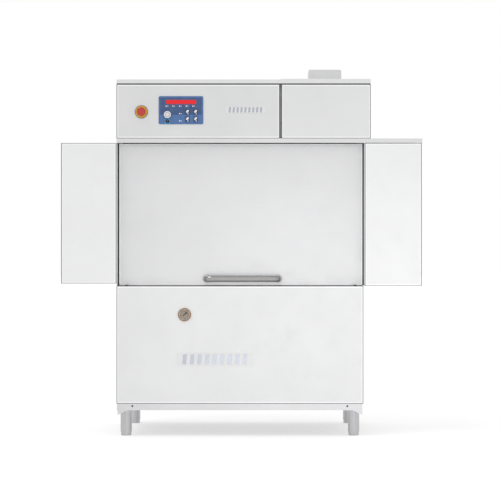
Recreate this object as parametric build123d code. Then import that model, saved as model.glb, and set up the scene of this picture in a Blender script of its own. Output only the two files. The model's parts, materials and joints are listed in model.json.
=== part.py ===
from build123d import *
import os

# Rack-conveyor commercial dishwasher, 44 inch body. Millimetres, +Z up, front towards -Y.
# The origin is on the floor, midway along the length and the depth.

# ---- driving dimensions ----
HALF_LENGTH = 818.0          # half the length over the end cowls
BODY_L = -567.0              # left face of the body
BODY_R = 551.0               # right face of the body
FRONT = -380.0               # front face of the apron, cowls and fascia
REAR = 380.0                 # rear face of the body
SHEET = 2.0                  # panel sheet thickness
PLATE = 3.0                  # structural sheet thickness
BASE_Z = 148.0               # underside of the apron
RAIL_Z = 118.0               # underside of the base frame
APRON_TOP = 681.0
DOOR_Z0 = 683.3
DOOR_Z1 = 1328.0
LEDGE_Z0 = 1329.0
FASCIA_Z0 = 1349.0
FASCIA_Z1 = 1594.0
LID_GAP = 4.0                # dark joint between the fascia and the lids
LID_TOP = 1619.0
TOP_R = 584.0                # right end of the control housing
SEAM_X = 176.0               # seam between the fascia and the right cover
HOUSING_DEPTH = 62.0
DOOR_FRONT = -314.0
DOOR_BACK = -290.0
DOOR_L = -560.0
DOOR_R = 550.0
HOOD_FRONT = -284.0          # front of the tunnel structure behind the door
TUNNEL_Z0 = 840.0            # underside of the end openings
TUNNEL_Z1 = 1300.0
TUNNEL_HALF_Y = 270.0
TRACK_Z = 864.0              # height at which the racks slide
LEG_R = 26.0
LEG_X = (-527.0, 509.0)
LEG_Y = 320.0
FOOT_R = 24.0
PIPE_END = 412.0             # rear end of the service stubs
STUB = 30.0                  # length of the hose spigots
FIT = 0.05                   # radial running clearance
HANDLE_R = 14.0
HANDLE_Z = 713.0
HANDLE_X = (-160.0, 165.0)
HANDLE_Y = -360.0
PANEL_FACE = -384.0          # front of the keypad plate
GAUGE_X = -259.0
GAUGE_Z = 551.0
GAUGE_R = 29.5
ESTOP_X = -454.0
ESTOP_Z = 1469.0
BUTTON_X = -336.0
BUTTON_Z = 1456.0
KNOB_Z = 1426.0
KEY_X = (-246.0, -209.0)
KEY_Z = (1468.0, 1435.0)
CARRIAGE_Z0 = 815.0
ROCKER_Z = 332.0
ROCKER_PIN_Z = 824.0
ROCKER_Y = 340.0
PUMP_X = -300.0
BEAM_X = (-400.0, 400.0)     # cross beams under the carriage
ARM_X = (-420.0, -270.0, -120.0)
PUMP_Y = 100.0
PUMP_Z = 262.0
FAN_X = 387.0
FAN_Y = 100.0
RISER_Y = 352.0
CURTAIN_X = (-545.0, 529.0)
CURTAIN_Z = 1308.0
CURTAIN_DROP = 422.0
UPPER_ARM_Z = 1288.0
LOWER_ARM_Z = 748.0
RINSE_X = 300.0
RINSE_R = 11.0
INLET_Z = 1458.0
INLET_R = 13.2
DRAIN_X = 250.0
DRAIN_Z = 230.0
DRAIN_R = 25.0
PULLEY_Y = -200.0
PULLEY_Z = 1480.0
PULLEY_R = 60.0


def block(x0, x1, y0, y1, z0, z1):
    """Box between two corners."""
    centre = Pos((x0 + x1) / 2, (y0 + y1) / 2, (z0 + z1) / 2)
    return centre * Box(abs(x1 - x0), abs(y1 - y0), abs(z1 - z0))


def rod_x(x0, x1, y, z, r):
    return Pos((x0 + x1) / 2, y, z) * Rot(0, 90, 0) * Cylinder(r, abs(x1 - x0))


def rod_y(y0, y1, x, z, r):
    return Pos(x, (y0 + y1) / 2, z) * Rot(90, 0, 0) * Cylinder(r, abs(y1 - y0))


def rod_z(z0, z1, x, y, r):
    return Pos(x, y, (z0 + z1) / 2) * Cylinder(r, abs(z1 - z0))


def group(solids):
    """Separate solids that make one sub-part."""
    return Compound(children=list(solids))


def rounded_y(x0, x1, y0, y1, z0, z1, r):
    """Plate facing the front, with its four outline corners rounded."""
    plate = block(x0, x1, y0, y1, z0, z1)
    return fillet(plate.edges().filter_by(Axis.Y), r)


def pan(x0, x1, y0, y1, z0, z1, wall=SHEET):
    """Sheet-metal pan: a face at y0 with four edges folded back to y1."""
    inner = block(x0 + wall, x1 - wall, y0 + wall, y1 + 1, z0 + wall, z1 - wall)
    body = block(x0, x1, y0, y1, z0, z1) - inner
    corners = body.edges().filter_by(Axis.Z).group_by(Axis.Y)[0]
    return fillet(corners, min(1.5, wall * 0.7))


# ---- base ----

def base_frame():
    """Welded rectangle of rails with a triangular gusset at each corner."""
    x0, x1 = BODY_L + 4, BODY_R - 4
    y0, y1 = FRONT + 5, REAR - 4
    depth = 40.0
    rails = [
        block(x0, x1, y0, y0 + depth, RAIL_Z, BASE_Z),
        block(x0, x1, y1 - depth, y1, RAIL_Z, BASE_Z),
        block(x0, x0 + depth, y0 + depth, y1 - depth, RAIL_Z, BASE_Z),
        block(x1 - depth, x1, y0 + depth, y1 - depth, RAIL_Z, BASE_Z),
    ]
    ear = 46.0
    for x, way in ((x0, 1), (x1, -1)):
        for y in (y0, y1 - PLATE):
            outline = Polyline((x, RAIL_Z), (x + way * ear, RAIL_Z), (x, RAIL_Z - 22), (x, RAIL_Z))
            plane = Plane(origin=(0, y + PLATE, 0), x_dir=(1, 0, 0), z_dir=(0, -1, 0))
            rails.append(extrude(plane * make_face(outline), PLATE))
    return group(rails)


def bottom_rail():
    """Folded channel that finishes the front of the base."""
    x0, x1 = BODY_L + 1, BODY_R - 4
    rail = block(x0, x1, FRONT, FRONT + 5, RAIL_Z, BASE_Z - 0.5)
    rail -= block(x0 + PLATE, x1 - PLATE, FRONT + SHEET, FRONT + 6, RAIL_Z + 2, BASE_Z - 2.5)
    for x in (-495.0, 478.0):
        rail -= rod_y(FRONT - 1, FRONT + 6, x, 137.0, 3.0)
    return rail


def frame_screws():
    """Button-head screws that hold the bottom rail."""
    screws = []
    for x in (-495.0, 478.0):
        head = rod_y(FRONT - 2.4, FRONT, x, 137.0, 4.6)
        head = chamfer(head.edges().group_by(Axis.Y)[0], 1.0)
        head -= rod_y(FRONT - 3, FRONT - 1, x, 137.0, 1.8)
        screws.append(head + rod_y(FRONT, FRONT + 5, x, 137.0, 2.9))
    return group(screws)


def leg_tubes():
    """Four round legs, hollow at the bottom for the levelling feet."""
    legs = []
    for x in LEG_X:
        for y in (-LEG_Y, LEG_Y):
            leg = rod_z(17, RAIL_Z, x, y, LEG_R) - rod_z(16, 88, x, y, 9.0 + FIT)
            collar = rod_z(RAIL_Z - 8, RAIL_Z, x, y, LEG_R + 6)
            legs.append(leg + collar)
    return group(legs)


def levelling_foot(x, y):
    """Foot with a stem that turns inside the leg."""
    pad = rod_z(0, 16.7, x, y, FOOT_R)
    pad = chamfer(pad.edges().group_by(Axis.Z)[0], 2.0)
    groove = rod_z(9, 11, x, y, FOOT_R + 1) - rod_z(8, 12, x, y, FOOT_R - 1.2)
    return pad - groove + rod_z(16.7, 80, x, y, 9.0)


def apron_panel():
    """Large lower front panel with a shelf under the door and a gauge hole."""
    panel = pan(BODY_L, BODY_R, FRONT, FRONT + 20, BASE_Z, APRON_TOP)
    shelf = block(BODY_L, BODY_R, FRONT + 20, HOOD_FRONT - 2, APRON_TOP - SHEET, APRON_TOP)
    return panel + shelf - rod_y(FRONT - 1, FRONT + 5, GAUGE_X, GAUGE_Z, 26.0)


def base_shell():
    """Side and rear panels of the base cabinet."""
    top = APRON_TOP - SHEET
    return group([
        block(BODY_L, BODY_L + PLATE, FRONT + 20.5, REAR - PLATE, BASE_Z, top),
        block(BODY_R - PLATE, BODY_R, FRONT + 20.5, REAR - PLATE, BASE_Z, top),
        block(BODY_L, BODY_R, REAR - PLATE, REAR, BASE_Z, top)
        - rod_y(REAR - 5, REAR + 5, DRAIN_X, DRAIN_Z, DRAIN_R + 0.5),
    ])


# ---- hood ----

def end_wall(x0, x1, hole_x):
    """Four plates round a tunnel opening, with bolt holes for a table flange."""
    sill = block(x0, x1, HOOD_FRONT, REAR - PLATE, APRON_TOP, TUNNEL_Z0)
    for y in (-200.0, 200.0):
        for z in (720.0, 800.0):
            sill -= rod_x(hole_x - 10, hole_x + 10, y, z, 4.5)
    return [
        sill,
        block(x0, x1, HOOD_FRONT, -TUNNEL_HALF_Y, TUNNEL_Z0, TUNNEL_Z1),
        block(x0, x1, TUNNEL_HALF_Y, REAR - PLATE, TUNNEL_Z0, TUNNEL_Z1),
        block(x0, x1, HOOD_FRONT, REAR - PLATE, TUNNEL_Z1, FASCIA_Z0 - PLATE),
    ]


def hood_shell():
    """Tunnel structure: end walls, rear, roof, front sill and curtain rods."""
    roof = FASCIA_Z0 - PLATE
    solids = end_wall(BODY_L, BODY_L + 6, BODY_L + 3)
    solids += end_wall(BODY_R - 6, BODY_R, BODY_R - 3)
    solids.append(block(BODY_L, BODY_R, REAR - PLATE, REAR, APRON_TOP, roof))
    riser_hole = rod_z(roof - 1, FASCIA_Z0 + 1, RINSE_X, RISER_Y, RINSE_R + 0.5)
    solids.append(block(BODY_L, BODY_R, HOOD_FRONT, REAR, roof, FASCIA_Z0) - riser_hole)
    inner_l, inner_r = BODY_L + 6, BODY_R - 6
    solids.append(block(inner_l, inner_r, HOOD_FRONT, HOOD_FRONT + 10, APRON_TOP, CARRIAGE_Z0 - 5))
    for x in BEAM_X:
        solids.append(block(x - 12, x + 12, HOOD_FRONT + 10, REAR - PLATE, 795.0, CARRIAGE_Z0 - 0.4))
    for x in CURTAIN_X:
        solids.append(rod_y(-262, 262, x, CURTAIN_Z, 5.0))
        for y in (-262.0, 252.0):
            solids.append(block(x - 6, x + 6, y, y + 10, CURTAIN_Z + 5, roof))
    return group(solids)


def cowl(x0, x1, z0):
    """Splash hood over a table end: front, rear and top sheets with folded lower edges."""
    top = DOOR_Z1
    lip = 14.0
    return group([
        block(x0, x1, FRONT, FRONT + SHEET, z0, top),
        block(x0, x1, REAR - SHEET, REAR, z0, top),
        block(x0, x1, FRONT + SHEET, REAR - SHEET, top - SHEET, top),
        block(x0, x1, FRONT + SHEET, FRONT + lip, z0, z0 + SHEET),
        block(x0, x1, REAR - lip, REAR - SHEET, z0, z0 + SHEET),
    ])


def ledge():
    """Thin rain lip over the door and the right cowl."""
    lip = block(BODY_L, HALF_LENGTH, FRONT, DOOR_FRONT - 3, LEDGE_Z0, FASCIA_Z0)
    lip -= block(BODY_L + 3, HALF_LENGTH - 3, FRONT + 3, DOOR_FRONT, LEDGE_Z0 - 1, FASCIA_Z0 - 3)
    wing = block(BODY_R + 6, HALF_LENGTH, DOOR_FRONT - 3, REAR, FASCIA_Z0 - 3, FASCIA_Z0)
    return lip + wing


# ---- control housing and top ----

def fascia_panel():
    """Front of the control housing, left of the seam."""
    panel = pan(BODY_L, SEAM_X - 4, FRONT, FRONT + HOUSING_DEPTH, FASCIA_Z0, FASCIA_Z1)
    panel -= rod_y(FRONT - 1, FRONT + 5, ESTOP_X, ESTOP_Z, 11.2)
    return panel - rod_y(FRONT - 1, FRONT + 5, BUTTON_X, KNOB_Z, 4.0)


def right_cover_panel():
    """Plain cover of the control housing, right of the seam."""
    return pan(SEAM_X + 4, TOP_R, FRONT, FRONT + HOUSING_DEPTH, FASCIA_Z0, FASCIA_Z1)


def guide_frame():
    """Back sheet of the control housing, with the two door guides and jambs welded to it."""
    y0 = FRONT + HOUSING_DEPTH
    solids = [block(BODY_L + 2, TOP_R - 2, y0, y0 + 1.5, FASCIA_Z0, FASCIA_Z1)]
    for x, way in ((BODY_L, 1), (BODY_R + 6, -1)):
        web_x1 = x + way * SHEET
        lo, hi = min(x, web_x1), max(x, web_x1)
        web = block(lo, hi, y0 + 1.5, HOOD_FRONT - 2, APRON_TOP, FASCIA_Z1)
        web += block(lo, hi, FRONT, y0 + 1.5, APRON_TOP, LEDGE_Z0)
        flange_end = web_x1 + way * 18
        lo, hi = min(web_x1, flange_end), max(web_x1, flange_end)
        flange = block(lo, hi, HOOD_FRONT - 4, HOOD_FRONT - 2, APRON_TOP, FASCIA_Z1)
        solids.append(web + flange)
    return group(solids)


def housing_lid(x0, x1, z1):
    """One half of the lid over the control housing, with a folded lip."""
    lid = block(x0, x1, FRONT, DOOR_FRONT - 2, FASCIA_Z1 + LID_GAP, z1)
    lid -= block(x0 + 3, x1 - 3, FRONT + 3, DOOR_FRONT, FASCIA_Z1, z1 - 3)
    return lid


def control_lids():
    """Two lids over the control housing, the right one a little higher."""
    return group([housing_lid(BODY_L, SEAM_X, LID_TOP - 3), housing_lid(SEAM_X, TOP_R, LID_TOP)])


def top_housing():
    """Box behind the door slot that holds the fan and the electrics."""
    y0 = HOOD_FRONT
    lid = block(BODY_L, TOP_R, y0, REAR, LID_TOP - PLATE, LID_TOP)
    lid -= rod_z(LID_TOP - 5, LID_TOP + 5, FAN_X, FAN_Y, 58.0)
    return group([
        block(BODY_L, BODY_L + PLATE, y0, REAR, FASCIA_Z0, LID_TOP - PLATE),
        block(TOP_R - PLATE, TOP_R, y0, REAR, FASCIA_Z0, LID_TOP - PLATE),
        block(BODY_L + PLATE, TOP_R - PLATE, y0, y0 + PLATE, FASCIA_Z0, LID_TOP - PLATE),
        block(BODY_L + PLATE, TOP_R - PLATE, REAR - PLATE, REAR, FASCIA_Z0, LID_TOP - PLATE)
        - rod_y(REAR - 5, REAR + 5, RINSE_X, INLET_Z, INLET_R + 0.5),
        lid,
    ])


def exhaust_cap():
    """Vapour outlet box with rounded shoulders, open to the rear."""
    x0, x1, y0, y1 = 310.0, 465.0, 20.0, 180.0
    z1 = 1692.0
    shell = block(x0, x1, y0, y1, LID_TOP, z1)
    shell = fillet(shell.edges().filter_by(Axis.Y).group_by(Axis.Z)[-1], 8.0)
    return shell - block(x0 + PLATE, x1 - PLATE, y0 + PLATE, y1 + 1, LID_TOP - 1, z1 - PLATE)


def fan_motor():
    """Extractor motor on a cross bracket under the impeller."""
    motor = rod_z(1372, 1450, FAN_X, FAN_Y, 42.0)
    bracket = block(FAN_X - 70, FAN_X + 70, FAN_Y - 20, FAN_Y + 20, FASCIA_Z0, 1372)
    return motor + bracket + rod_z(1450, 1530, FAN_X, FAN_Y, 6.0)


def fan_impeller():
    """Axial impeller on the motor shaft."""
    hub = rod_z(1470, 1510, FAN_X, FAN_Y, 18.0)
    wheel = hub
    for i in range(6):
        blade = Rot(0, 0, i * 60) * Pos(33, 0, 0) * Rot(35, 0, 0) * Box(36, 22, 2.5)
        wheel += Pos(FAN_X, FAN_Y, 1490) * blade
    return wheel - rod_z(1460, 1520, FAN_X, FAN_Y, 6.0 + FIT)


def electrical_box():
    """Sealed switchgear enclosure with a flanged cover."""
    box = block(-500, -150, -120, 120, FASCIA_Z0, 1560)
    cover = block(-506, -144, -126, 126, 1560, 1566)
    return fillet(box.edges().filter_by(Axis.Z), 6.0) + cover


def cable_gland():
    """Cable entry, a stepped nut with a clear bore."""
    x, z = -400.0, 1450.0
    nut = Pos(x, REAR + 6, z) * Rot(90, 0, 0) * extrude(RegularPolygon(19, 6), 6, both=True)
    gland = nut + rod_y(REAR + 12, PIPE_END - 4, x, z, 15.0)
    return gland - rod_y(REAR - 2, PIPE_END, x, z, 10.0)


# ---- door ----

def door_outer_skin():
    """Front pan of the lifting door."""
    return pan(DOOR_L, DOOR_R, DOOR_FRONT, DOOR_BACK - SHEET, DOOR_Z0, DOOR_Z1)


def door_inner_skin():
    """Back sheet of the door."""
    return block(DOOR_L, DOOR_R, DOOR_BACK - SHEET, DOOR_BACK, DOOR_Z0, DOOR_Z1)


def door_handle():
    """Bow handle bent from round tube, with a rosette at each foot."""
    left, right = HANDLE_X
    y_door = DOOR_FRONT
    pts = [(left, y_door, HANDLE_Z), (left, HANDLE_Y, HANDLE_Z)]
    pts += [(right, HANDLE_Y, HANDLE_Z), (right, y_door, HANDLE_Z)]
    path = FilletPolyline(*pts, radius=22.0)
    profile = Plane(origin=pts[0], z_dir=(0, -1, 0)) * Circle(HANDLE_R)
    bow = sweep(profile, path=path)
    for x in HANDLE_X:
        bow += rod_y(y_door - 4, y_door, x, HANDLE_Z, HANDLE_R + 5)
    return bow


def door_bumpers():
    """Rubber stops on the shelf under the door."""
    bumpers = []
    for x in (-524.0, 515.0):
        bumpers.append(block(x - 6, x + 6, FRONT + 3, DOOR_FRONT - 4, APRON_TOP, APRON_TOP + 4))
        bumpers.append(block(x - 6, x + 6, DOOR_FRONT - 4, DOOR_BACK, APRON_TOP, APRON_TOP + 2))
    return group([bumpers[0] + bumpers[1], bumpers[2] + bumpers[3]])


def counterweights():
    """Pair of weights that balance the door, one in each rear corner."""
    weights = []
    for x in (-535.0, 500.0):
        bar = block(x, x + 20, 290, 330, 1180, 1340)
        weights.append(fillet(bar.edges().filter_by(Axis.Z), 3.0))
    return group(weights)


def pulley_shaft():
    """Synchronising shaft with a cable pulley at each end."""
    shaft = rod_x(-555, 540, PULLEY_Y, PULLEY_Z, 8.0)
    for x in (-550.0, 520.0):
        wheel = rod_x(x, x + 15, PULLEY_Y, PULLEY_Z, PULLEY_R)
        groove = rod_x(x + 5, x + 10, PULLEY_Y, PULLEY_Z, PULLEY_R + 1)
        groove -= rod_x(x + 4, x + 11, PULLEY_Y, PULLEY_Z, PULLEY_R - 5)
        shaft += wheel - groove
    return shaft


# ---- controls ----

def estop_bezel():
    """Round collar of the emergency stop."""
    ring = rod_y(FRONT - 5, FRONT, ESTOP_X, ESTOP_Z, 30.0)
    ring = fillet(ring.edges().group_by(Axis.Y)[0], 1.5)
    ring += rod_y(FRONT - 9, FRONT - 5, ESTOP_X, ESTOP_Z, 26.5)
    ring += rod_y(FRONT, FRONT + 22, ESTOP_X, ESTOP_Z, 11.0)
    return ring - rod_y(FRONT - 10, FRONT + 30, ESTOP_X, ESTOP_Z, 7.0 + FIT)


def estop_cap():
    """Mushroom cap on a plunger."""
    cap = rod_y(-PIPE_END, FRONT - 16, ESTOP_X, ESTOP_Z, 19.5)
    cap = fillet(cap.edges().group_by(Axis.Y)[0], 6.0)
    return cap + rod_y(FRONT - 16, FRONT + 18, ESTOP_X, ESTOP_Z, 7.0)


def control_panel():
    """Keypad plate with pockets for the keys and the start button."""
    plate = rounded_y(-376, -174, PANEL_FACE, FRONT, 1413, 1540, 7.0)
    plate -= rod_y(PANEL_FACE - 1, FRONT - 0.4, BUTTON_X, BUTTON_Z, 17.0)
    plate -= rod_y(PANEL_FACE - 1, FRONT + 1, BUTTON_X, KNOB_Z, 3.0 + FIT)
    for x in KEY_X:
        for z in KEY_Z:
            plate -= block(x - 11, x + 11, PANEL_FACE - 1, FRONT - 1.4, z - 13, z + 13)
    return plate


def start_button():
    """Round push button."""
    button = rod_y(PANEL_FACE - 6, FRONT - 3.6, BUTTON_X, BUTTON_Z, 16.5)
    return fillet(button.edges().group_by(Axis.Y)[0], 2.0)


def selector_knob():
    """Small rotary selector with a pointer ridge and a stem."""
    knob = rod_y(PANEL_FACE - 8, PANEL_FACE - 0.4, BUTTON_X, KNOB_Z, 8.5)
    knob = fillet(knob.edges().group_by(Axis.Y)[0], 1.0)
    knob += block(BUTTON_X - 2, BUTTON_X + 2, PANEL_FACE - 13, PANEL_FACE - 8, KNOB_Z - 8, KNOB_Z + 8)
    return knob + rod_y(PANEL_FACE - 0.4, FRONT + 12, BUTTON_X, KNOB_Z, 3.0)


def keypad_key(x, z):
    """Rectangular key that sinks into its pocket."""
    return rounded_y(x - 10, x + 10, PANEL_FACE - 1.2, FRONT - 3, z - 12, z + 12, 3.0)


def gauge_case():
    """Gauge body with a flange in front of the apron."""
    case = rod_y(FRONT - 12, FRONT, GAUGE_X, GAUGE_Z, GAUGE_R)
    case = fillet(case.edges().group_by(Axis.Y)[0], 2.5)
    case += rod_y(FRONT, FRONT + 30, GAUGE_X, GAUGE_Z, 25.5)
    return case - rod_y(FRONT - 13, FRONT - 3, GAUGE_X, GAUGE_Z, 24.0)


def gauge_dial():
    """Printed dial disc with the needle's pivot pin."""
    disc = rod_y(FRONT - 4, FRONT - 3, GAUGE_X, GAUGE_Z, 23.9)
    return disc + rod_y(FRONT - 8, FRONT - 4, GAUGE_X, GAUGE_Z, 1.5)


def gauge_needle():
    """Tapered pointer that turns on the pivot pin and rests pointing up and to the right."""
    tip = 18.0
    outline = Polyline((-5, -1.6), (tip, -0.4), (tip, 0.4), (-5, 1.6), (-5, -1.6))
    blade = extrude(make_face(outline), 1.0)
    blade += Cylinder(3.2, 1.0, align=(Align.CENTER, Align.CENTER, Align.MIN))
    blade -= Cylinder(1.5 + FIT, 4.0)
    turned = Rot(0, 0, 45) * blade
    return Pos(GAUGE_X, FRONT - 6, GAUGE_Z) * Rot(90, 0, 0) * turned


def badges():
    """Blank raised plates on the fascia and the apron."""
    upper = rounded_y(-73, 107, FRONT - 2, FRONT, 1463, 1493, 3.0)
    lower = rounded_y(-296, 51, FRONT - 3, FRONT, 321, 377, 4.0)
    return group([upper, lower])


# ---- wash system ----

def wash_tank():
    """Tank of welded plates with a drain pipe out to the rear."""
    x0, x1, y0, y1, z0, z1 = -480.0, 470.0, -270.0, 330.0, 380.0, APRON_TOP + 15
    drain = rod_y(60, PIPE_END - STUB, DRAIN_X, DRAIN_Z, DRAIN_R - 1)
    drain += rod_y(PIPE_END - STUB, PIPE_END, DRAIN_X, DRAIN_Z, DRAIN_R)
    drain -= rod_y(100, PIPE_END + 1, DRAIN_X, DRAIN_Z, DRAIN_R - 3)
    drain += rod_z(DRAIN_Z, z0, DRAIN_X, 85.0, DRAIN_R - 3)
    return group([
        block(x0, x1, y0, y1, z0, z0 + PLATE),
        block(x0, x0 + PLATE, y0, y1, z0 + PLATE, z1),
        block(x1 - PLATE, x1, y0, y1, z0 + PLATE, z1),
        block(x0 + PLATE, x1 - PLATE, y0, y0 + PLATE, z0 + PLATE, z1),
        block(x0 + PLATE, x1 - PLATE, y1 - PLATE, y1, z0 + PLATE, z1),
        drain,
    ])


def strainer_tray():
    """Slotted scrap tray over the tank."""
    z = APRON_TOP + 15.0
    tray = block(-478, 468, -268, 215, z, z + SHEET)
    for i in range(20):
        x = -450.0 + i * 46.0
        tray -= block(x, x + 8, -240, 190, z - 1, z + SHEET + 1)
    return tray


def overflow_standpipe():
    """Lift-out overflow tube with a cross grip."""
    x, y = 440.0, 275.0
    tube = rod_z(383.3, 690, x, y, 22.0) - rod_z(380, 691, x, y, 19.0)
    return tube + block(x - 19.5, x + 19.5, y - 4, y + 4, 670, 686)


def heater_element():
    """Looped immersion heater along the tank floor."""
    bars = rod_x(-420, 300, -150.0, 425.0, 6.0) + rod_x(-420, 300, 150.0, 425.0, 6.0)
    bars += rod_y(-150, 150, -420.0, 425.0, 6.0) + rod_y(-150, 150, 300.0, 425.0, 6.0)
    for x in (-420.0, 300.0):
        for y in (-150.0, 150.0):
            bars += Pos(x, y, 425.0) * Sphere(6.0)
    for x in (-300.0, 200.0):
        bars += rod_z(383, 420, x, 150.0, 4.0)
    return bars


def pump_housing():
    """Volute under the tank, with its suction and delivery branches."""
    volute = rod_x(PUMP_X - 32, PUMP_X + 32, PUMP_Y, PUMP_Z, 78.0)
    volute -= rod_x(PUMP_X - 24, PUMP_X + 24, PUMP_Y, PUMP_Z, 66.0)
    volute -= rod_x(PUMP_X, PUMP_X + 40, PUMP_Y, PUMP_Z, 10.0)
    suction = rod_z(PUMP_Z + 70, 380, PUMP_X, PUMP_Y, 24.0)
    delivery = rod_y(PUMP_Y + 70, RISER_Y - 16.5, PUMP_X, PUMP_Z, 16.0)
    return volute + suction + delivery


def pump_motor():
    """Motor beside the volute, with cooling fins and its shaft."""
    motor = rod_x(PUMP_X + 32, PUMP_X + 230, PUMP_Y, PUMP_Z, 64.0)
    for i in range(6):
        x = PUMP_X + 70 + i * 24
        motor += rod_x(x, x + 6, PUMP_Y, PUMP_Z, 70.0)
    foot = block(PUMP_X + 70, PUMP_X + 200, PUMP_Y - 55, PUMP_Y + 55, PUMP_Z - 82, PUMP_Z - 50)
    return motor + foot + rod_x(PUMP_X - 16, PUMP_X + 32, PUMP_Y, PUMP_Z, 8.0)


def pump_impeller():
    """Closed-back impeller with curved vanes set as straight blades."""
    wheel = rod_x(PUMP_X - 4, PUMP_X + 2, PUMP_Y, PUMP_Z, 60.0)
    wheel += rod_x(PUMP_X - 14, PUMP_X + 8, PUMP_Y, PUMP_Z, 16.0)
    for i in range(6):
        vane = Rot(i * 60, 0, 0) * Pos(-9, 0, 36) * Rot(25, 0, 0) * Box(12, 3, 42)
        wheel += Pos(PUMP_X, PUMP_Y, PUMP_Z) * vane
    return wheel - rod_x(PUMP_X - 20, PUMP_X + 20, PUMP_Y, PUMP_Z, 8.0 + FIT)


def spray_arms(xs, z, y_end, r):
    """Spray pipes across the tunnel at one height, with a row of nozzles on each."""
    way = 1 if z < TRACK_Z else -1
    arms = []
    for x in xs:
        arm = rod_y(-230, y_end, x, z, r)
        for i in range(7):
            arm += rod_z(z, z + way * (r + 5), x, -190.0 + i * 60.0, 4.0)
        arms.append(arm)
    return arms


def wash_manifold():
    """Riser behind the tunnel with the upper and lower wash arms."""
    solids = [rod_z(PUMP_Z - 16, 1310, PUMP_X, RISER_Y, 16.0)]
    for z in (UPPER_ARM_Z, LOWER_ARM_Z):
        solids.append(rod_x(ARM_X[0] - 20, PUMP_X - 16.2, RISER_Y, z, 12.0))
        solids.append(rod_x(PUMP_X + 16.2, ARM_X[-1] + 20, RISER_Y, z, 12.0))
        solids += spray_arms(ARM_X, z, RISER_Y - 12.5, 12.0)
    return group(solids)


def rinse_manifold():
    """Rinse riser with one upper and one lower arm, fed from the rear stub."""
    solids = [rod_z(LOWER_ARM_Z, INLET_Z - INLET_R, RINSE_X, RISER_Y, RINSE_R)]
    for z in (UPPER_ARM_Z, LOWER_ARM_Z):
        solids += spray_arms((RINSE_X,), z, RISER_Y - RINSE_R - 0.5, 9.0)
    stub = rod_y(RISER_Y - 12, PIPE_END - STUB, RINSE_X, INLET_Z, INLET_R - 1)
    stub += rod_y(PIPE_END - STUB, PIPE_END, RINSE_X, INLET_Z, INLET_R)
    stub -= rod_y(390, PIPE_END + 1, RINSE_X, INLET_Z, 9.5)
    solids.append(stub)
    return group(solids)


# ---- conveyor ----

def track_rails():
    """Two angle rails that carry the racks through the machine."""
    rails = []
    for way in (-1, 1):
        web = block(-805, 805, way * 262, way * 265, TUNNEL_Z0, TRACK_Z + 12)
        rails.append(web + block(-805, 805, way * 242, way * 262, TRACK_Z - 3, TRACK_Z))
    return group(rails)


def pawl_carriage():
    """Reciprocating frame: two bars, cross ties and the drive pin."""
    z0, z1 = CARRIAGE_Z0, CARRIAGE_Z0 + 18
    frame = block(-460, 460, -206, -194, z0, z1) + block(-460, 460, 194, 206, z0, z1)
    for x in (-452.0, 440.0):
        frame += block(x, x + 12, -194, 194, z0, z1)
    for x in (-250.0, 250.0):
        frame -= rod_y(-220, 220, x, z0 + 9, 5.0 + FIT)
    return frame + rod_y(206, ROCKER_Y + 14, 0.0, ROCKER_PIN_Z, 6.0)


def pawl_shaft(x):
    """Cross shaft with two dogs that push the racks."""
    z = CARRIAGE_Z0 + 9
    shaft = rod_y(-212, 212, x, z, 5.0)
    for y in (-186.0, 178.0):
        outline = Polyline((x - 14, z + 2), (x - 6, z + 48), (x + 6, z + 52), (x + 12, z), (x + 8, z - 34),
                           (x - 10, z - 34), (x - 14, z + 2))
        plane = Plane(origin=(0, y + 8, 0), x_dir=(1, 0, 0), z_dir=(0, -1, 0))
        shaft += extrude(plane * make_face(outline), 8)
    return shaft


def gearmotor():
    """Worm gearmotor that drives the rocker."""
    gearbox = block(-60, 60, 200, 328, ROCKER_Z - 45, ROCKER_Z + 43)
    gearbox = fillet(gearbox.edges().filter_by(Axis.Y), 8.0)
    motor = rod_x(60, 235, 262.0, ROCKER_Z, 42.0)
    shaft = rod_y(328, ROCKER_Y + 16, 0.0, ROCKER_Z, 12.0)
    return gearbox + motor + shaft


def drive_rocker():
    """Rocker arm with a slotted fork for the carriage pin."""
    y0, y1 = ROCKER_Y, ROCKER_Y + 8
    arm = block(-14, 14, y0, y1, ROCKER_Z, ROCKER_PIN_Z + 26)
    arm += rod_y(y0, y1, 0.0, ROCKER_Z, 30.0)
    arm -= block(-7.3, 7.3, y0 - 1, y1 + 1, ROCKER_PIN_Z - 18, ROCKER_PIN_Z + 17)
    return arm - rod_y(y0 - 5, y1 + 5, 0.0, ROCKER_Z, 12.0 + FIT)


def strip_curtain(x):
    """Flexible strips on sleeves that swing on the curtain rod."""
    z = CURTAIN_Z
    sleeve = rod_y(-250, 250, x, z, 8.0)
    bottom = z - CURTAIN_DROP
    sleeve += block(x - 1.5, x + 1.5, -240, 240, z - 30, z)
    for i in range(6):
        y = -240.0 + i * 80.6
        sleeve += block(x - 1.5, x + 1.5, y, y + 77, bottom, z - 30)
    return sleeve - rod_y(-260, 260, x, z, 5.0 + FIT)


# ---- output ----

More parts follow.
